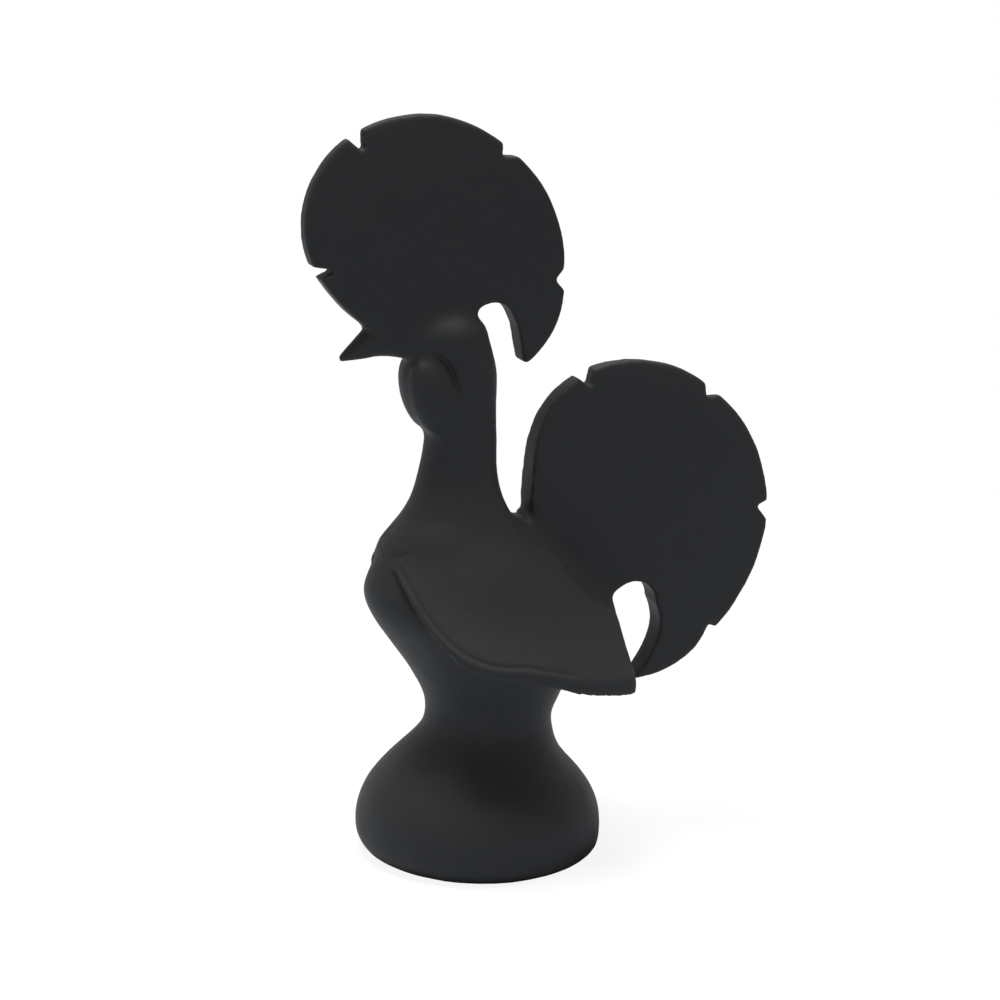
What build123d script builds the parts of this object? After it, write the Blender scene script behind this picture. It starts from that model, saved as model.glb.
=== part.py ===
from build123d import *

import os
from math import cos, radians, sin

# A matt black fired-clay rooster on a bell foot, about 200 mm tall. The potter makes it as separate
# leather-hard pieces, lutes them together with slip and fires the whole: a thrown bell, a hollow
# torso, a neck, a head, a beak, two wattles, two wings, and two pats cut as the comb and the tail.
# Every length is in millimetres. The beak points along -X, the tail along +X, and +Z is up.
# Y = 0 is the plane of symmetry, and the origin is the middle of the foot ring, on the table.
# A name that ends in share or shares holds angles and fractions of the named sizes, and no lengths.

# Walls of the two hollow pieces, and the thicker crown that carries the neck
clay_wall = 4.6
crown_wall = 9.0

# Bell foot, from the table up to the waist.
# Each ring is (height, swell from waist to belly, lean towards the front).
bell_height = 38.0
foot_radius = 30.6
foot_rounding = 0.8
belly_radius = 33.2
waist_radius = 17.2
waist_shift = 1.3
bell_lean = 2.2
bell_ring_shares = [
    (0.08, 0.97, 0.60),
    (0.18, 1.01, 0.82),
    (0.34, 0.95, 0.90),
    (0.53, 0.685, 1.0),
    (0.71, 0.315, 0.70),
    (0.87, 0.07, -0.20),
]

# Torso, from the waist up to the shoulder. The wings set its rump and its breadth.
# Each ring is (height, reach of the breast, reach of the rump, half breadth).
torso_height = 52.0
breast_reach = 32.5
shoulder_front = 27.6
shoulder_back = 10.5
shoulder_half_breadth = 15.5
torso_ring_shares = [
    (0.09, 0.495, 0.60, 0.72),
    (0.20, 0.57, 0.68, 0.83),
    (0.38, 0.745, 0.80, 0.96),
    (0.57, 0.945, 0.72, 0.98),
    (0.75, 0.99, 0.50, 0.74),
    (0.90, 0.90, 0.34, 0.57),
]

# Neck, from the shoulder up to the throat, with a nape that ends inside the head.
# Each ring is (height, what is left of the flare in front, what is left of it behind).
neck_height = 44.0
neck_half_length = 9.35
neck_half_breadth = 8.9
neck_axis = -6.1
nape_rise = 5.5
nape_setback = 0.9
nape_share = 0.94
neck_flare_shares = [
    (0.10, 0.60, 0.47),
    (0.22, 0.36, 0.17),
    (0.36, 0.18, 0.07),
    (0.55, 0.04, 0.01),
    (0.80, 0.0, 0.0),
]

# Head, an egg on the neck's axis that narrows forward into the beak.
# Each ring is (run from the back, half height, half breadth, rise).
head_lift = 6.7
head_front = 24.9
head_back = 7.7
head_half_height = 8.8
head_half_breadth = 9.2
head_ring_shares = [
    (0.00, 0.25, 0.25, -0.06),
    (0.07, 0.62, 0.66, -0.04),
    (0.18, 0.90, 0.92, 0.0),
    (0.33, 1.00, 1.00, 0.02),
    (0.47, 0.90, 0.84, 0.06),
    (0.62, 0.72, 0.60, 0.14),
    (0.80, 0.575, 0.49, 0.20),
    (1.00, 0.515, 0.46, 0.165),
]

# Beak, a cone that droops from the front of the head
beak_length = 8.3
beak_drop = 4.3
beak_tip_half_height = 1.0
beak_tip_half_breadth = 1.0

# Wattles, a pair of flattened lobes hung side by side from the chin
wattle_length = 22.0
wattle_width = 12.0
wattle_thickness = 9.4
wattle_setback = 9.3
wattle_hang = 2.4
wattle_side = 4.4
wattle_lean = -14.0

# Wings, a skirt of clay that falls from the neck over the torso: its crest and its edge.
# Each section is (degrees round from the tail, reach, rise of the rim, thickness of the edge),
# and the crest of each falls from root to rim by (run, fall).
wing_edge = 5.0
wing_top_lift = 12.0
wing_root_radius = 10.5
wing_inner_radius = 3.0
wing_low_share = 0.273
wing_rise_share = 0.702
wing_section_shares = [
    (0, 1.31, 0.46, 1.0),
    (20, 1.32, 0.22, 1.0),
    (40, 1.39, 0.0, 0.95),
    (60, 1.15, 0.10, 0.85),
    (80, 1.01, 0.19, 0.72),
    (100, 0.91, 0.29, 0.60),
    (120, 0.84, 0.44, 0.48),
    (140, 0.79, 0.65, 0.40),
    (160, 0.74, 0.84, 0.40),
    (180, 0.73, 1.00, 0.40),
]
wing_fall_shares = [(0.0, 0.0), (0.12, 0.20), (0.3, 0.37), (0.65, 0.72), (1.0, 1.0), (1.3, 1.2)]

# The plan that the skirt is trimmed to: round in front, with a hollow rear edge and two corners.
# It overhangs the rump behind and covers the torso's sides.
wing_span = 34.0
wing_corner_share = 0.853
wing_corner_setback = 5.3
wing_rear_reach = 38.5
wing_rear_hollow = 1.4
wing_front_reach = 29.3
wing_shoulder_share = 0.73
wing_overhang = 4.0
wing_cover = 9.0

# Comb, a pat of clay that thins towards its rim, cut to notched lobes with a hooked last one.
# It is placed from the middle of the head by shares of its radius, as (forward, up).
# The pat's own middle and radius are shares of that radius too, as (back, down, radius).
# The outline is runs of (degrees, distance from the middle), joined by straight cuts.
comb_thickness = 9.0
comb_radius = 35.6
comb_place_shares = (0.236, 0.683)
comb_pat_shares = (0.126, 0.421, 1.517)
comb_outline_shares = [
    [(-133, 0.735), (-155, 0.79), (-169.5, 0.862)],
    [(-172, 0.715)],
    [(-175, 0.898), (157, 1.009), (126.5, 1.036)],
    [(124.5, 0.88)],
    [(120, 1.025), (86, 0.968), (53, 0.93)],
    [(50.5, 0.845)],
    [(44, 0.933), (18, 0.967), (-10.5, 1.04)],
    [(-16, 0.985)],
    [(-19, 1.075), (-36, 1.136), (-50.3, 1.135)],
    [(-51.3, 1.118), (-42.9, 0.886)],
    [(-39.9, 0.792), (-41.7, 0.615), (-56.8, 0.592)],
    [(-63.4, 0.722), (-125, 0.74)],
]

# Tail, a second such pat, stood on the back from the shoulder's rear edge
tail_thickness = 10.4
tail_radius = 40.4
tail_place_shares = (-0.849, 0.02)
tail_pat_shares = (-0.416, 0.322, 1.485)
tail_outline_shares = [
    [(180, 0.825), (161, 0.846), (141, 0.952), (116.5, 1.036)],
    [(113.5, 0.93)],
    [(110, 1.042), (87, 1.005), (60, 0.942)],
    [(57, 0.862)],
    [(52, 0.93), (24, 0.922), (-2, 0.937)],
    [(-4, 0.85)],
    [(-10, 0.945), (-34, 0.976), (-58, 1.043)],
    [(-60, 0.985), (-67, 1.072), (-79, 1.147), (-94, 1.188)],
    [(-91.5, 1.158), (-84.9, 0.978), (-80.9, 0.816), (-81.9, 0.665)],
    [(-81.9, 0.665), (-97, 0.49), (-110.6, 0.635)],
    [(-112.7, 0.761), (-169, 0.873)],
]

# How far a cutting prism stands out past what it cuts
overrun = 20.0

shoulder_height = bell_height + torso_height
throat_height = shoulder_height + neck_height
head_height = throat_height + head_lift
rump_reach = wing_rear_reach - wing_overhang
torso_half_breadth = wing_span - wing_cover


def ring(height, front, back, half_breadth):
    """A level oval, given by how far it reaches forward and back."""
    half_length = (front + back) / 2
    return Plane(((back - front) / 2, 0, height)) * Ellipse(half_length, half_breadth)


def upright_ring(x, height, half_breadth, half_height):
    """An upright oval that faces the beak."""
    facing = Plane((x, 0, height), x_dir=(0, 1, 0), z_dir=(-1, 0, 0))
    return facing * Ellipse(half_breadth, half_height)


def waist_ring(inset):
    """The oval where bell and torso meet."""
    radius = waist_radius - inset
    return ring(bell_height, radius - waist_shift, radius + waist_shift, radius)


def bell_form(inset):
    """The bell's outer form, or its cavity when inset by the wall."""
    foot = foot_radius - inset
    rings = [ring(0, foot, foot, foot)]
    for height_share, swell_share, lean_share in bell_ring_shares:
        radius = waist_radius + (belly_radius - waist_radius) * swell_share - inset
        lean = bell_lean * lean_share
        rings.append(ring(bell_height * height_share, radius + lean, radius - lean, radius))
    rings.append(waist_ring(inset))
    return loft(rings)


def torso_form(inset, crown):
    """The torso's outer form, or its cavity when inset by the wall and kept below the crown."""
    height = torso_height - crown
    rings = [waist_ring(inset)]
    for height_share, front_share, back_share, breadth_share in torso_ring_shares:
        front = breast_reach * front_share - inset
        back = rump_reach * back_share - inset
        half_breadth = torso_half_breadth * breadth_share - inset
        rings.append(ring(bell_height + height * height_share, front, back, half_breadth))
    top = ring(
        bell_height + height,
        shoulder_front - inset,
        shoulder_back - inset,
        shoulder_half_breadth - inset,
    )
    rings.append(top)
    return loft(rings)


def neck_form():
    """The neck with its flare, which starts on the torso's top oval."""
    throat_front = neck_half_length - neck_axis
    throat_back = neck_half_length + neck_axis
    rings = [ring(shoulder_height, shoulder_front, shoulder_back, shoulder_half_breadth)]
    for height_share, front_share, back_share in neck_flare_shares:
        side_share = (front_share + back_share) / 2
        front = throat_front + (shoulder_front - throat_front) * front_share
        back = throat_back + (shoulder_back - throat_back) * back_share
        half_breadth = neck_half_breadth + (shoulder_half_breadth - neck_half_breadth) * side_share
        rings.append(ring(shoulder_height + neck_height * height_share, front, back, half_breadth))
    rings.append(ring(throat_height, throat_front, throat_back, neck_half_breadth))
    nape_front = throat_front * nape_share
    nape_back = throat_back - nape_setback
    rings.append(ring(throat_height + nape_rise, nape_front, nape_back, neck_half_breadth * nape_share))
    return loft(rings)


def head_ring(run_share, height_share, breadth_share, rise_share):
    """One upright oval of the head, the last of which is the beak's root."""
    return upright_ring(
        neck_axis + head_back - (head_front + head_back) * run_share,
        head_height + head_half_height * rise_share,
        head_half_breadth * breadth_share,
        head_half_height * height_share,
    )


def head_form():
    return loft([head_ring(*shares) for shares in head_ring_shares])


def beak_form():
    """The beak, from the head's last oval to a blunt tip."""
    root_shares = head_ring_shares[-1]
    tip_height = head_height + head_half_height * root_shares[-1] - beak_drop
    tip_x = neck_axis - head_front - beak_length
    tip = upright_ring(tip_x, tip_height, beak_tip_half_breadth, beak_tip_half_height)
    return loft([head_ring(*root_shares), tip])


def wattle_form():
    """The right-hand lobe, cut flat where it meets its twin."""
    lobe = scale(Sphere(1), by=(wattle_width / 2, wattle_thickness / 2, wattle_length / 2))
    middle_height = head_height - wattle_hang - wattle_length / 2
    place = Pos(neck_axis - wattle_setback, wattle_side, middle_height)
    return split(place * Rot(0, wattle_lean, 0) * lobe, bisect_by=Plane.XZ, keep=Keep.BOTTOM)


def wing_section(angle, reach_share, rise_share, edge_share):
    """The skirt cut upright along one direction from the neck's axis."""
    turn = radians(angle)
    outward = Plane((neck_axis, 0, 0), x_dir=(cos(turn), sin(turn), 0), z_dir=(sin(turn), -cos(turn), 0))
    reach = wing_span * reach_share - wing_root_radius
    top_height = shoulder_height + wing_top_lift
    rim_height = bell_height + torso_height * (wing_low_share + wing_rise_share * rise_share)
    fall = top_height - rim_height
    crest = [(wing_inner_radius, top_height)]
    for run_share, fall_share in wing_fall_shares:
        crest.append((wing_root_radius + reach * run_share, top_height - fall * fall_share))
    under = [(run, height - wing_edge * edge_share) for run, height in crest]
    edges = [Spline(crest), Line(crest[-1], under[-1]), Spline(under), Line(crest[0], under[0])]
    return outward * make_face(edges)


def wing_plan():
    """The outline of the right-hand wing seen from above, as an upright prism."""
    corner_reach = wing_rear_reach - wing_corner_setback
    corner_span = wing_span * wing_corner_share
    rear = (wing_rear_reach, 0)
    corner = (corner_reach, corner_span)
    hollow = (wing_rear_reach - wing_corner_setback / 2 - wing_rear_hollow, corner_span / 2)
    widest = (0, wing_span)
    shoulder = (-wing_front_reach * wing_shoulder_share, wing_span * wing_shoulder_share)
    front = (-wing_front_reach, 0)
    edges = [
        ThreePointArc(rear, hollow, corner),
        ThreePointArc(corner, (corner_reach / 2, wing_span), widest),
        Spline([widest, shoulder, front], tangents=[(-1, 0), (0, -1)]),
        Line(front, rear),
    ]
    return extrude(make_face(edges), throat_height)


def wing_form():
    """The right-hand half of the skirt, trimmed to its plan."""
    skirt = loft([wing_section(*shares) for shares in wing_section_shares])
    return skirt & wing_plan()


def slab_form(seat, radius, thickness, place_shares, pat_shares, outline_shares):
    """An upright slab, cut to an outline from a round pat that is thickest at its middle."""
    forward_share, up_share = place_shares
    x = seat[0] - radius * forward_share
    height = seat[1] + radius * up_share
    runs = []
    for run_shares in outline_shares:
        run = []
        for angle, reach_share in run_shares:
            turn = radians(angle)
            run.append((radius * reach_share * cos(turn), radius * reach_share * sin(turn)))
        runs.append(run)
    edges = []
    for run, following in zip(runs, runs[1:] + runs[:1]):
        if len(run) == 2:
            edges.append(Line(run))
        if len(run) == 3:
            edges.append(ThreePointArc(run))
        if len(run) > 3:
            edges.append(Spline(run))
        if run[-1] != following[0]:
            edges.append(Line(run[-1], following[0]))
    upright = Plane((x, 0, height), x_dir=(1, 0, 0), z_dir=(0, -1, 0))
    prism = extrude(upright * make_face(edges), overrun, both=True)
    back_share, down_share, radius_share = pat_shares
    pat = scale(Sphere(1), by=(radius * radius_share, thickness / 2, radius * radius_share))
    return prism & Pos(x + radius * back_share, 0, height - radius * down_share) * pat


def comb_form():
    seat = (neck_axis, head_height)
    return slab_form(
        seat, comb_radius, comb_thickness, comb_place_shares, comb_pat_shares, comb_outline_shares
    )


def tail_form():
    seat = (shoulder_back, shoulder_height)
    return slab_form(
        seat, tail_radius, tail_thickness, tail_place_shares, tail_pat_shares, tail_outline_shares
    )


# Each luted piece is cut back to the face of the piece that it is pressed on to.
# The two wings are cut back as one skirt and parted along the middle.
bell_body = bell_form(0)
bell_body = fillet(bell_body.edges().group_by(Axis.Z)[0], foot_rounding)
base_bell = bell_body - bell_form(clay_wall)
torso_body = torso_form(0, 0)
torso = torso_body - torso_form(clay_wall, crown_wall)
head = head_form()
neck = neck_form() - head
beak = beak_form()
comb = comb_form() - head - beak
tail = tail_form() - torso_body - neck
wattle_right = wattle_form() - head - beak - neck
wing_pair = wing_form() + mirror(wing_form(), about=Plane.XZ) - tail - torso_body - neck
wing_right = split(wing_pair, bisect_by=Plane.XZ, keep=Keep.BOTTOM)

pieces = {
    "base_bell": base_bell,
    "torso": torso,
    "neck": neck,
    "head": head,
    "beak": beak,
    "wattle_left": mirror(wattle_right, about=Plane.XZ),
    "wattle_right": wattle_right,
    "wing_left": mirror(wing_right, about=Plane.XZ),
    "wing_right": wing_right,
    "comb": comb,
    "tail": tail,
}

os.makedirs("parts", exist_ok=True)
for name, piece in pieces.items():
    export_step(piece, f"parts/{name}.step")
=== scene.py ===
# %% [markdown]
# # A black clay rooster
#
# The real figure is made of leather-hard clay: a thrown bell, a hollow torso, a neck, a head, and
# two flat pats cut as comb and tail. The potter lutes the pieces together, smooths every joint with
# a wet thumb, fires the whole and leaves it matt black. So the looks live in three things: joints
# that melt into each other, rims rounded by hand, and a dry black surface that catches light only
# at its edges. The CAD nodes hold the pieces with crisp joints, and this script does the thumb's
# work.

import math

import bmesh
import bpy
from mathutils import Matrix, Vector, geometry
from mathutils.bvhtree import BVHTree
from mathutils.kdtree import KDTree


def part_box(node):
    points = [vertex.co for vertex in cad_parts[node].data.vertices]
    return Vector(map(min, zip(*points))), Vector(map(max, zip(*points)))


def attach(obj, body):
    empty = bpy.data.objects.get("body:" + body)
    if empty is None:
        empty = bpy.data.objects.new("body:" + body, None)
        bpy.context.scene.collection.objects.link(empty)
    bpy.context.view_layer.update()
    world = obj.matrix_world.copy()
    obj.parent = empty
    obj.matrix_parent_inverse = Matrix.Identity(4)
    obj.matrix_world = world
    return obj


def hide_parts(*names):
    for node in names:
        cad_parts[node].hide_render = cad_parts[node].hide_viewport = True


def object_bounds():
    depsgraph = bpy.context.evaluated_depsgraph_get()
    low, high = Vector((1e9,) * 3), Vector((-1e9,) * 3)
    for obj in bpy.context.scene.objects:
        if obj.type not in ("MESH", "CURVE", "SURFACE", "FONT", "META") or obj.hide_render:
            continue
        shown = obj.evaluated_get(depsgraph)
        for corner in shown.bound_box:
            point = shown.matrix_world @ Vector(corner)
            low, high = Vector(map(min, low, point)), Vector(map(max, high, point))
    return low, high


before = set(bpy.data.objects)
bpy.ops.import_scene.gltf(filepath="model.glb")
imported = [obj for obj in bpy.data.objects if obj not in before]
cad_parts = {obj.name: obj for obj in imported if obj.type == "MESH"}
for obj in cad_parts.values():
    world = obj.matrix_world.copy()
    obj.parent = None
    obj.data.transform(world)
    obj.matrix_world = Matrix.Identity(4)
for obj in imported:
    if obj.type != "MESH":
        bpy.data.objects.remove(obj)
cad_low, cad_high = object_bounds()
print("CAD nodes:", ", ".join(sorted(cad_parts)))

# %% [markdown]
# Sizes are easiest to think of in millimetres, while Blender's unit here is the metre. Colours are
# easiest to read as the hex codes of a paint chart, while a shader wants linear light, so one
# function does the change for every colour in the file.

# %% Units and colours
MM = 0.001


def linear(hex_colour):
    """An sRGB hex colour as the linear red, green, blue and alpha that a shader wants."""
    channels = [int(hex_colour[start:start + 2], 16) / 255 for start in (1, 3, 5)]
    return [c / 12.92 if c <= 0.04045 else ((c + 0.055) / 1.055) ** 2.4 for c in channels] + [1.0]


# %% [markdown]
# ## One skin from eleven pieces
#
# On the fired figure no joint can be seen, so a viewer must find one unbroken skin. Sculpting it by
# hand would lose the CAD sizes. Instead, copies of all nodes go into one mesh, and a voxel
# Remesh wraps them in a single closed surface. The voxel has to be finer than the thinnest detail,
# which is the bottom of a notch in the comb.
#
# One thing is added first. The potter presses the two wattles together with slip until only a
# faint valley is left between them, so a ball of slip, squeezed to nearly their size, fills it.

# %% Slip between the wattles
SLIP_HALF_SIZES = (5.8 * MM, 8.6 * MM, 10.5 * MM)
SLIP_FINENESS = 5
WATTLE_LEAN = math.radians(-14)

wattle_low, wattle_high = (Vector(corner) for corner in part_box("wattle_right"))
wattle_middle = (wattle_low + wattle_high) / 2
wattle_middle.y = 0
clay = bmesh.new()
bmesh.ops.create_icosphere(clay, subdivisions=SLIP_FINENESS, radius=1)
bmesh.ops.scale(clay, vec=SLIP_HALF_SIZES, verts=clay.verts)
lean = Matrix.Rotation(WATTLE_LEAN, 3, "Y")
bmesh.ops.rotate(clay, cent=(0, 0, 0), matrix=lean, verts=clay.verts)
bmesh.ops.translate(clay, vec=wattle_middle, verts=clay.verts)
print("wattle middle, mm:", [round(value / MM, 1) for value in wattle_middle])

# %% Wrap the nodes in one skin
SKIN_VOXEL = 0.45 * MM
WELD = 0.001 * MM


def settle(piece):
    """Turns the piece's modifiers into its mesh, so that later steps can work on the result."""
    graph = bpy.context.evaluated_depsgraph_get()
    finished = bpy.data.meshes.new_from_object(piece.evaluated_get(graph))
    piece.modifiers.clear()
    piece.data = finished


skin = bpy.data.objects.new("skin", bpy.data.meshes.new("skin"))
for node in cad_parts.values():
    clay.from_mesh(node.data)
bmesh.ops.remove_doubles(clay, verts=clay.verts, dist=WELD)
clay.to_mesh(skin.data)
clay.free()
bpy.context.scene.collection.objects.link(skin)
wrap = skin.modifiers.new("wrap", "REMESH")
wrap.mode = "VOXEL"
wrap.voxel_size = SKIN_VOXEL
settle(skin)
print("skin:", len(skin.data.vertices), "points")

# %% [markdown]
# Air trapped where two pieces meet would leave tiny closed shells inside the clay. They can't be
# seen, but a clean mesh has none, so every island with only a few points goes.

# %% Drop the bubbles shut in between pieces
BUBBLE_POINTS = 200

bm = bmesh.new()
bm.from_mesh(skin.data)
unseen = set(bm.verts)
bubbles = []
while unseen:
    island = {unseen.pop()}
    front = list(island)
    while front:
        for edge in front.pop().link_edges:
            for vertex in edge.verts:
                if vertex in unseen:
                    unseen.remove(vertex)
                    island.add(vertex)
                    front.append(vertex)
    if len(island) < BUBBLE_POINTS:
        bubbles += island
bmesh.ops.delete(bm, geom=bubbles, context="VERTS")
bm.to_mesh(skin.data)
bm.free()
print("points in bubbles:", len(bubbles))

# %% [markdown]
# ## Joints smoothed by thumb
#
# A potter presses slip into each joint and wipes it into a hollow curve: wide and strong where the
# wings flow into neck and tail, narrow at the wattles. Each joint has a reach, which is the thumb's
# width at that place, and a strength, from 0 to 1.

# %% The reach and strength of each joint
JOINTS = {
    ("neck", "wing_left"): (12.0 * MM, 1.0),
    ("neck", "wing_right"): (12.0 * MM, 1.0),
    ("tail", "wing_left"): (5.5 * MM, 0.4),
    ("tail", "wing_right"): (5.5 * MM, 0.4),
    ("wing_left", "wing_right"): (5.0 * MM, 0.4),
    ("head", "neck"): (6.0 * MM, 0.5),
    ("comb", "head"): (5.0 * MM, 0.3),
    ("comb", "neck"): (3.0 * MM, 0.2),
    ("beak", "comb"): (0.6 * MM, 0.1),
    ("neck", "torso"): (8.0 * MM, 0.8),
    ("tail", "torso"): (3.0 * MM, 0.2),
    ("base_bell", "torso"): (5.0 * MM, 0.3),
    ("wattle_left", "wattle_right"): (3.0 * MM, 0.2),
}
for wattle in ("wattle_left", "wattle_right"):
    JOINTS[("beak", wattle)] = (1.0 * MM, 0.1)
    JOINTS[("head", wattle)] = (3.5 * MM, 0.35)
    JOINTS[("neck", wattle)] = (3.5 * MM, 0.35)
PLAIN_JOINT = (1.2 * MM, 0.1)
print("joints with a reach of their own:", len(JOINTS))

# %% [markdown]
# A point lies in a joint when it is close to two nodes at once. To find them quickly, every node
# gets a search tree over its faces, and its bounding box rules out most nodes beforehand.

# %% Measure how near the nodes are
SEARCH = 14.0 * MM

graph = bpy.context.evaluated_depsgraph_get()
trees = {name: BVHTree.FromObject(node, graph) for name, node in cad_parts.items()}
boxes = {name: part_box(name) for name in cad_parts}


def near_nodes(point, search):
    """The nodes within the search distance of a point, nearest first, with their distances."""
    found = []
    for name, tree in trees.items():
        low, high = boxes[name]
        if all(low[i] - search < point[i] < high[i] + search for i in range(3)):
            distance = tree.find_nearest(point, search)[3]
            if distance is not None:
                found.append((distance, name))
    return sorted(found)


def fade(share):
    """A smooth fall from one to nought as the share grows from nought to one."""
    share = min(max(share, 0.0), 1.0)
    return 1 - share * share * (3 - 2 * share)


print("search trees:", len(trees))

# %% [markdown]
# The closeness of a point to its second and third nearest node becomes its weight in a vertex
# group, so that the Smooth modifier works only in the joints. A second group holds the wings,
# because their rims get more strokes than the others.

# %% Find the joints
owners = []
joints = skin.vertex_groups.new(name="joints")
wings = skin.vertex_groups.new(name="wings")
for vertex in skin.data.vertices:
    near = near_nodes(vertex.co, SEARCH)
    owners.append(near[0][1])
    weight = 0.0
    for distance, name in near[1:3]:
        reach, strength = JOINTS.get(tuple(sorted((near[0][1], name))), PLAIN_JOINT)
        weight = max(weight, strength * fade(distance / reach))
    if weight > 0:
        joints.add([vertex.index], weight, "REPLACE")
    if owners[-1].startswith("wing"):
        wings.add([vertex.index], 1.0, "REPLACE")
print("joints found for", len(skin.data.vertices), "points")

# %% Smooth the joints
JOINT_STROKES = 700
STROKE = 0.5

wipe = skin.modifiers.new("wipe_joints", "SMOOTH")
wipe.factor = STROKE
wipe.iterations = JOINT_STROKES
wipe.vertex_group = joints.name
settle(skin)
print("joints wiped with", JOINT_STROKES, "strokes")

# %% [markdown]
# A damp sponge then goes over every rim. The wings' rims are thicker and rounder, so they get more.

# %% Soften the rims, and those of the wings more
RIM_STROKES = 20
WING_STROKES = 60

soften = skin.modifiers.new("soften_rims", "SMOOTH")
soften.factor = STROKE
soften.iterations = RIM_STROKES
soften_wings = skin.modifiers.new("soften_wings", "SMOOTH")
soften_wings.factor = STROKE
soften_wings.iterations = WING_STROKES
soften_wings.vertex_group = wings.name
settle(skin)
print("rims softened with", RIM_STROKES, "strokes, wings with", WING_STROKES, "more")

# %% [markdown]
# ## Marks of the hand
#
# Hand-built clay is never quite flat: pats bow by a few tenths of a millimetre. Two
# soft noises push the skin in and out, one as broad as a palm's mark and one as fine as a
# fingertip's.

# %% Uneven clay
UNEVENNESS = {"palm": (16.0 * MM, 0.5 * MM), "fingertip": (3.5 * MM, 0.10 * MM)}

for name, (breadth, height) in UNEVENNESS.items():
    clouds = bpy.data.textures.new(name, "CLOUDS")
    clouds.noise_scale = breadth
    clouds.noise_depth = 1
    push = skin.modifiers.new(name, "DISPLACE")
    push.texture = clouds
    push.texture_coords = "LOCAL"
    push.strength = height
    push.mid_level = 0.5
    print(name, "marks:", round(breadth / MM, 1), "mm broad,", round(height / MM, 2), "mm high")
settle(skin)

# %% [markdown]
# The tool marks come next. A crease is cut round the back of each wattle, along a short path that
# is drawn on the side view. Its depth follows a bell curve across the path and tapers at its ends.

# %% The crease behind each wattle
CREASE_PATH = [(-15.2, 138.6), (-12.4, 136.2), (-11.0, 133.6), (-10.1, 130.6), (-8.7, 128.2)]
CREASE_DEPTH = 1.0 * MM
CREASE_WIDTH = 0.75 * MM
CREASE_SIDE = 3.0 * MM
CREASE_ENDS = (0.08, 0.92)

crease_path = [Vector((x * MM, z * MM)) for x, z in CREASE_PATH]


def distance_to_path(point, path):
    """How far a point is from a line of straight runs, with the share of the way along it."""
    best = (math.inf, 0.0)
    for index, (start, end) in enumerate(zip(path, path[1:])):
        nearest, share = geometry.intersect_point_line(point, start, end)
        share = min(max(share, 0.0), 1.0)
        nearest = start.lerp(end, share)
        best = min(best, ((point - nearest).length, (index + share) / (len(path) - 1)))
    return best


def hollow(distance, width):
    """The depth of a pressed mark at a distance from its middle, as a share from 1 down to 0."""
    return math.exp(-((distance / width) ** 2))


def crease_depth(point):
    """How deep the crease is at a point of the skin."""
    if abs(point.y) <= CREASE_SIDE:
        return 0.0
    distance, along = distance_to_path(point.xz, crease_path)
    along = min(max(along, CREASE_ENDS[0]), CREASE_ENDS[1])
    return CREASE_DEPTH * math.sin(math.pi * along) ** 0.5 * hollow(distance, CREASE_WIDTH)


print("crease:", len(crease_path), "points on each side")

# %% [markdown]
# A blunt tool has pressed a line just inside the rim of the wings. The rim is read from the CAD
# wings: it is where a face that looks up meets a face that looks sideways. Such edges round the
# neck's foot don't belong to the rim, so they are left out. Towards the tail the line fades away.

# %% The line inside the wings' rim
RIM_LINE_INSET = 1.7 * MM
RIM_LINE_WIDTH = 0.7 * MM
RIM_LINE_DEPTH = 0.28 * MM
RIM_LINE_END = 18.0 * MM
RIM_TOP_SLOPE = 0.45
RIM_SIDE_SLOPE = 0.2
RIM_EDGE_PARTS = 4
SKYWARD = 0.2
NECK_FOOT = Vector((-6.1 * MM, 0.0))
NECK_CLEARANCE = 21.0 * MM


def rim_points(node_name):
    """Points along the upper edge of a wing's rim, read from the CAD node's sharp edges."""
    shape = bmesh.new()
    shape.from_mesh(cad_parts[node_name].data)
    bmesh.ops.remove_doubles(shape, verts=shape.verts, dist=WELD)
    points = []
    for edge in shape.edges:
        if len(edge.link_faces) == 2:
            slopes = sorted(face.normal.z for face in edge.link_faces)
            if slopes[1] > RIM_TOP_SLOPE and abs(slopes[0]) < RIM_SIDE_SLOPE:
                start, end = (vertex.co.copy() for vertex in edge.verts)
                points += [start.lerp(end, step / RIM_EDGE_PARTS)
                           for step in range(RIM_EDGE_PARTS + 1)]
    shape.free()
    return points


rim = [point for name in ("wing_left", "wing_right") for point in rim_points(name)]
rim = [point for point in rim if (point.xy - NECK_FOOT).length > NECK_CLEARANCE]
rim_tree = KDTree(len(rim))
for index, point in enumerate(rim):
    rim_tree.insert(point, index)
rim_tree.balance()


def rim_line_depth(point):
    """How deep the rim's line is at a point of a wing. It fades over its rear half."""
    fade_out = fade((point.x / RIM_LINE_END - 0.5) * 2)
    distance = rim_tree.find(point)[2] - RIM_LINE_INSET
    return RIM_LINE_DEPTH * fade_out * hollow(distance, RIM_LINE_WIDTH)


print("rim points:", len(rim))

# %% [markdown]
# The marks push each point of the skin inwards along its normal. Last, a thumb presses the clay
# down between neck and tail, where the real figure has a deep narrow gap.

# %% Press the marks in
THUMB_PLACE = Vector((6.0 * MM, 0.0, 98.0 * MM))
THUMB_REACH = 6.5 * MM
THUMB_DEPTH = 3.6 * MM

normals = [vertex.normal.copy() for vertex in skin.data.vertices]
for vertex, normal, owner in zip(skin.data.vertices, normals, owners):
    depth = 0.0
    if owner in ("head", "neck") or owner.startswith("wattle"):
        depth += crease_depth(vertex.co)
    if owner.startswith("wing") and normal.z > SKYWARD and vertex.co.x < RIM_LINE_END:
        depth += rim_line_depth(vertex.co)
    vertex.co -= normal * depth
    if owner != "tail":
        vertex.co.z -= THUMB_DEPTH * hollow((vertex.co - THUMB_PLACE).length, THUMB_REACH)
skin.data.update()
print("marks pressed into", len(normals), "points")

# %% [markdown]
# ## Back to eleven pieces
#
# The fine grid was needed for smoothing and marks. A Decimate modifier now takes away the points
# that the flat parts don't need, and leaves more of them at rims and hollows.

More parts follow.
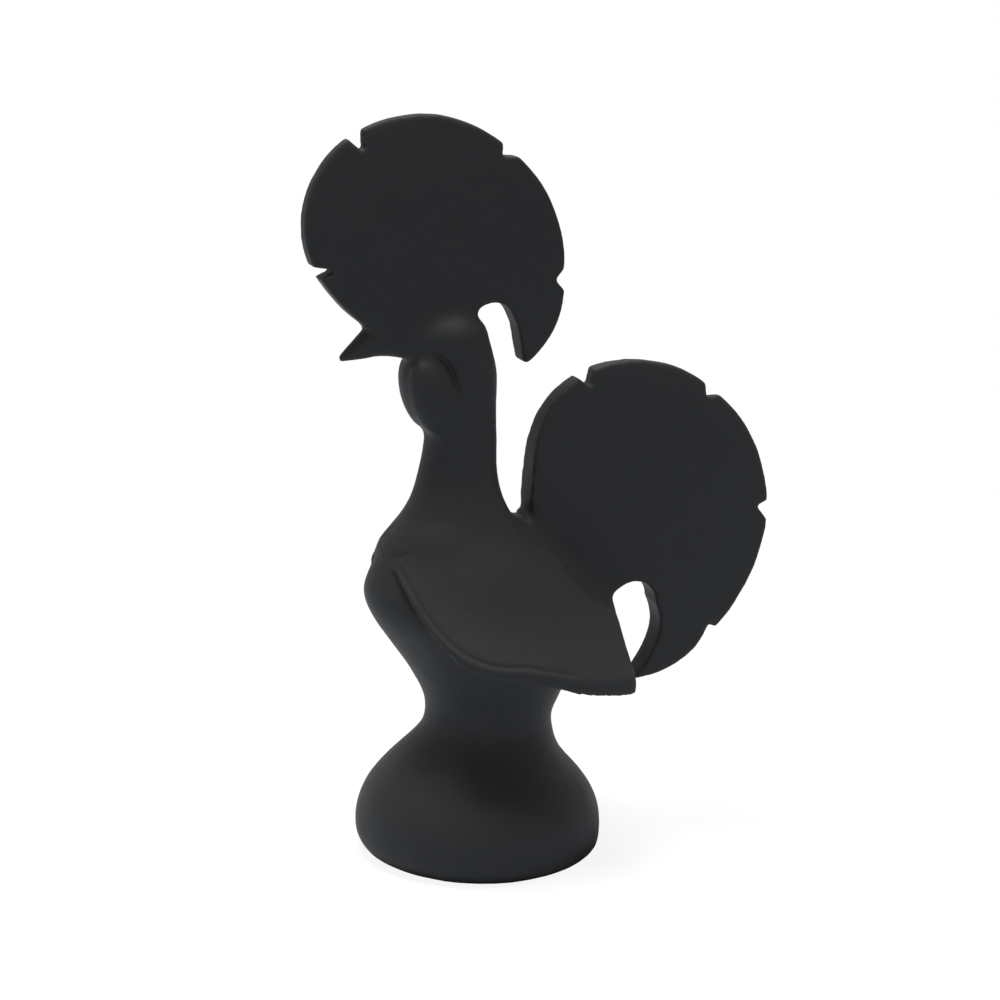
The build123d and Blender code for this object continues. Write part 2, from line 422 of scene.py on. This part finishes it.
# %% Thin the grid
KEPT_FACES = 0.4

thin = skin.modifiers.new("thin_grid", "DECIMATE")
thin.ratio = KEPT_FACES
settle(skin)
print("faces kept:", len(skin.data.polygons))

# %% [markdown]
# The library wants each piece by itself, as the potter made it. Every face of the skin goes to the
# node that it lies nearest to. A few rounds of voting among neighbours straighten the borders: a
# face changes sides when two or more of its neighbours agree on another node.

# %% Share out the faces
VOTES = 8
NEAR = 4.0 * MM

bm = bmesh.new()
bm.from_mesh(skin.data)
face_owner = []
for face in bm.faces:
    middle = face.calc_center_median()
    near = near_nodes(middle, NEAR) or near_nodes(middle, SEARCH)
    face_owner.append(near[0][1])
neighbours = [[other.index for edge in face.edges for other in edge.link_faces if other is not face]
              for face in bm.faces]
for _ in range(VOTES):
    voted = list(face_owner)
    for index, around in enumerate(neighbours):
        names = [face_owner[other] for other in around]
        winner = max(names, key=names.count)
        if names.count(winner) > 1:
            voted[index] = winner
    face_owner = voted
bm.free()
print("faces shared out:", len(face_owner))

# %% [markdown]
# Each patch gets a wall on its inner side, which makes it a closed body, and keeps the normals of
# the whole skin, so that the light doesn't break where two pieces meet. The wall is thinner than
# the rounding of the sharpest rim, or it would poke out there. Points that unevenness pushed past
# the CAD box come back to its sides, which also keeps the foot flat on the table.

# %% Close each patch
WALL = 0.4 * MM


def keep_skin_normals(mesh, shell_faces):
    """Gives a closed patch the normals of the whole skin on both sides, but not on its cut edge."""
    kept = mesh.attributes["skin_normal"].data
    corner_normals = []
    for polygon in mesh.polygons:
        flat = polygon.normal
        for index in polygon.vertices:
            normal = kept[index].vector
            if polygon.index >= shell_faces:
                normal = flat
            elif normal.dot(flat) < 0:
                normal = -normal
            corner_normals.append(normal.copy())
    mesh.attributes.remove(mesh.attributes["skin_normal"])
    mesh.polygons.foreach_set("use_smooth", [True] * len(mesh.polygons))
    mesh.normals_split_custom_set(corner_normals)


kept_normals = skin.data.attributes.new("skin_normal", "FLOAT_VECTOR", "POINT")
all_normals = [part for vertex in skin.data.vertices for part in vertex.normal]
kept_normals.data.foreach_set("vector", all_normals)
pieces = {}
for name in sorted(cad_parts):
    patch = bmesh.new()
    patch.from_mesh(skin.data)
    others = [face for face, owner in zip(patch.faces, face_owner) if owner != name]
    bmesh.ops.delete(patch, geom=others, context="FACES")
    shell_faces = 2 * len(patch.faces)
    piece = bpy.data.objects.new(name + "_clay", bpy.data.meshes.new(name + "_patch"))
    patch.to_mesh(piece.data)
    patch.free()
    bpy.context.scene.collection.objects.link(piece)
    wall = piece.modifiers.new("wall", "SOLIDIFY")
    wall.thickness = WALL
    wall.offset = -1
    settle(piece)
    for vertex in piece.data.vertices:
        vertex.co = [min(max(value, low), high)
                     for value, low, high in zip(vertex.co, cad_low, cad_high)]
    keep_skin_normals(piece.data, shell_faces)
    pieces[name] = piece
    print(name, len(piece.data.polygons), "faces")
bpy.data.objects.remove(skin)

# %% [markdown]
# ## Matt black clay
#
# The surface is fired clay under a thin dry coat of black. A dry coat has no shine from the
# front, but seen along the surface it still picks up the bright surroundings, which is why the
# rims look grey. The colour is nearly black, the roughness is high and a little uneven, and
# a fine grit breaks up the light. Real grit is under 0.2 mm; it is drawn at 0.5 mm, or it would
# be too fine to show.

# %% The clay's material
COAT = "#151617"
WORN_COAT = "#1c1d1e"
SMOOTHEST, ROUGHEST = 0.60, 0.74
GRIT = 0.5 * MM
GRIT_HEIGHT = 0.05 * MM
GRIT_STRENGTH = 0.35
CLOUDING = 14.0 * MM
CLAY_IOR = 1.5
DRY_SPECULAR = 0.22


def add_node(tree, kind, inputs=None, **settings):
    """Adds a node with settings, and fills its inputs with values or other nodes' outputs."""
    node = tree.nodes.new(kind)
    for name, value in settings.items():
        setattr(node, name, value)
    for name, value in (inputs or {}).items():
        if isinstance(value, bpy.types.NodeSocket):
            tree.links.new(value, node.inputs[name])
        else:
            node.inputs[name].default_value = value
    return node


def black_clay():
    """Fired clay under a dry black coat: nearly black, with grey light along its rims."""
    material = bpy.data.materials.new("matt_black_fired_clay")
    material.use_nodes = True
    tree = material.node_tree
    tree.nodes.clear()
    place = add_node(tree, "ShaderNodeTexCoord").outputs["Object"]
    clouding = add_node(tree, "ShaderNodeTexNoise",
                        {"Vector": place, "Scale": 1 / CLOUDING, "Detail": 3.0}).outputs["Fac"]
    grit = add_node(tree, "ShaderNodeTexNoise",
                    {"Vector": place, "Scale": 1 / GRIT, "Detail": 2.0}).outputs["Fac"]
    colour = add_node(tree, "ShaderNodeMix", {"Factor": clouding}, data_type="RGBA")
    colour.inputs[6].default_value = linear(COAT)
    colour.inputs[7].default_value = linear(WORN_COAT)
    roughness = add_node(tree, "ShaderNodeMapRange",
                         {"Value": clouding, "To Min": SMOOTHEST, "To Max": ROUGHEST}
                         ).outputs["Result"]
    bump = add_node(tree, "ShaderNodeBump",
                    {"Height": grit, "Strength": GRIT_STRENGTH, "Distance": GRIT_HEIGHT}
                    ).outputs["Normal"]
    coat = add_node(tree, "ShaderNodeBsdfPrincipled",
                    {"Base Color": colour.outputs[2], "Roughness": roughness, "Normal": bump,
                     "IOR": CLAY_IOR, "Specular IOR Level": DRY_SPECULAR})
    add_node(tree, "ShaderNodeOutputMaterial", {"Surface": coat.outputs["BSDF"]})
    return material


print("grit:", GRIT / MM, "mm, clouding:", CLOUDING / MM, "mm")

# %% [markdown]
# The potter blackens the whole figure at once, so all pieces share one coat. Each one stands still
# on the only body and takes the place of its CAD node.

# %% Coat the pieces
clay_coat = black_clay()
for name, piece in pieces.items():
    piece.data.materials.append(clay_coat)
    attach(piece, "root")
    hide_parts(name)
print("pieces coated:", len(pieces))

# %% [markdown]
# ## A white table
#
# The figure stands on a plain white sheet that runs out of sight. The camera sees it as white,
# which a Light Path node gives without throwing more light on the figure. Near the foot the sheet
# shows more of its own shading, so the shadow stays, faint and a little blue.

# %% Sheet
SHEET_SIZE = 8.0
SHEET_COLOUR = "#eef1f6"
SHEET_SEEN_WHITE = 0.90
SHADOW_REACH = 0.10
WHITE_REACH = 0.45

sheet_mesh = bpy.data.meshes.new("white_sheet")
bm = bmesh.new()
bmesh.ops.create_grid(bm, x_segments=1, y_segments=1, size=SHEET_SIZE / 2)
bm.to_mesh(sheet_mesh)
bm.free()
white_sheet = bpy.data.objects.new("white_sheet", sheet_mesh)
bpy.context.scene.collection.objects.link(white_sheet)

sheet_material = bpy.data.materials.new("white_paper")
sheet_material.use_nodes = True
tree = sheet_material.node_tree
tree.nodes.clear()
path = add_node(tree, "ShaderNodeLightPath")
paper = add_node(tree, "ShaderNodeBsdfDiffuse", {"Color": linear(SHEET_COLOUR)})
glow = add_node(tree, "ShaderNodeEmission", {"Color": linear("#ffffff"), "Strength": 1.0})
place = add_node(tree, "ShaderNodeTexCoord").outputs["Object"]
from_middle = add_node(tree, "ShaderNodeVectorMath", {0: place},
                       operation="LENGTH").outputs["Value"]
whiteness = add_node(tree, "ShaderNodeMapRange",
                     {"Value": from_middle, "From Min": SHADOW_REACH, "From Max": WHITE_REACH,
                      "To Min": SHEET_SEEN_WHITE, "To Max": 1.0},
                     interpolation_type="SMOOTHSTEP").outputs["Result"]
share = add_node(tree, "ShaderNodeMath", {0: path.outputs["Is Camera Ray"], 1: whiteness},
                 operation="MULTIPLY")
both = add_node(tree, "ShaderNodeMixShader",
                {0: share.outputs[0], 1: paper.outputs[0], 2: glow.outputs[0]})
add_node(tree, "ShaderNodeOutputMaterial", {"Surface": both.outputs[0]})
sheet_mesh.materials.append(sheet_material)
print("sheet:", SHEET_SIZE, "m wide")

# %% [markdown]
# The room behind is white in the same way. Reflections see it white too, which gives the rims
# their grey light, while its soft light on the figure is much weaker.

# %% World
AMBIENT = 0.17

world = bpy.data.worlds.new("white_room")
world.use_nodes = True
tree = world.node_tree
tree.nodes.clear()
path = add_node(tree, "ShaderNodeLightPath")
mirrored = add_node(tree, "ShaderNodeMath", operation="MAXIMUM",
                    inputs={0: path.outputs["Is Camera Ray"], 1: path.outputs["Is Glossy Ray"]})
seen = add_node(tree, "ShaderNodeMath", operation="MAXIMUM",
                inputs={0: mirrored.outputs[0], 1: path.outputs["Is Transmission Ray"]})
soft = add_node(tree, "ShaderNodeBackground", {"Color": linear("#ffffff"), "Strength": AMBIENT})
white = add_node(tree, "ShaderNodeBackground", {"Color": linear("#ffffff"), "Strength": 1.0})
room = add_node(tree, "ShaderNodeMixShader",
                {0: seen.outputs[0], 1: soft.outputs[0], 2: white.outputs[0]})
add_node(tree, "ShaderNodeOutputWorld", {"Surface": room.outputs[0]})
bpy.context.scene.world = world
print("soft light of the room:", AMBIENT)

# %% [markdown]
# ## Soft light
#
# The figure is lit as in a photographer's tent: one soft lamp overhead and a weaker one on the
# left. The tops of the wings are bright and the bell below them is dark, so the overhead lamp
# leads, and it is small enough for the wings to shade the bell. The breast and the waist are
# lighter on the left, and the bell is darkest on the right, so no lamp stands there.

# %% Lamps
LAMPS = {
    "overhead": ((-0.12, 0.03, 1.3), 0.5, 26.0),
    "left_side": ((-1.2, 0.1, 0.15), 0.9, 1.0),
}
LIT_POINT = Vector((0.0, 0.0, 0.1))

for name, (place, size, watts) in LAMPS.items():
    lamp = bpy.data.lights.new(name, "AREA")
    lamp.size = size
    lamp.energy = watts
    stand = bpy.data.objects.new(name, lamp)
    stand.location = place
    stand.rotation_euler = (LIT_POINT - Vector(place)).to_track_quat("-Z", "Y").to_euler()
    bpy.context.scene.collection.objects.link(stand)
    print(name, "lamp:", watts, "W")

# %% [markdown]
# ## The camera
#
# The foot's rim shows as an ellipse, and its flatness gives the camera's height: 15 degrees above
# the table. The comb and tail are turned 20 degrees away, which gives its side. It stands about
# 0.74 m away with a long lens.

# %% Camera
CAMERA_PLACE = Vector((-0.2394, -0.6709, 0.2876))
CAMERA_AIM = Vector((0.00482, 0.0, 0.09632))
LENS = 100
SENSOR = 36

camera = bpy.data.cameras.new("camera")
camera.lens = LENS
camera.sensor_width = SENSOR
camera_stand = bpy.data.objects.new("camera", camera)
camera_stand.location = CAMERA_PLACE
camera_stand.rotation_euler = (CAMERA_AIM - CAMERA_PLACE).to_track_quat("-Z", "Y").to_euler()
bpy.context.scene.collection.objects.link(camera_stand)
bpy.context.scene.camera = camera_stand
bpy.context.scene.view_settings.view_transform = "Standard"
print("camera distance, m:", round((CAMERA_AIM - CAMERA_PLACE).length, 3))
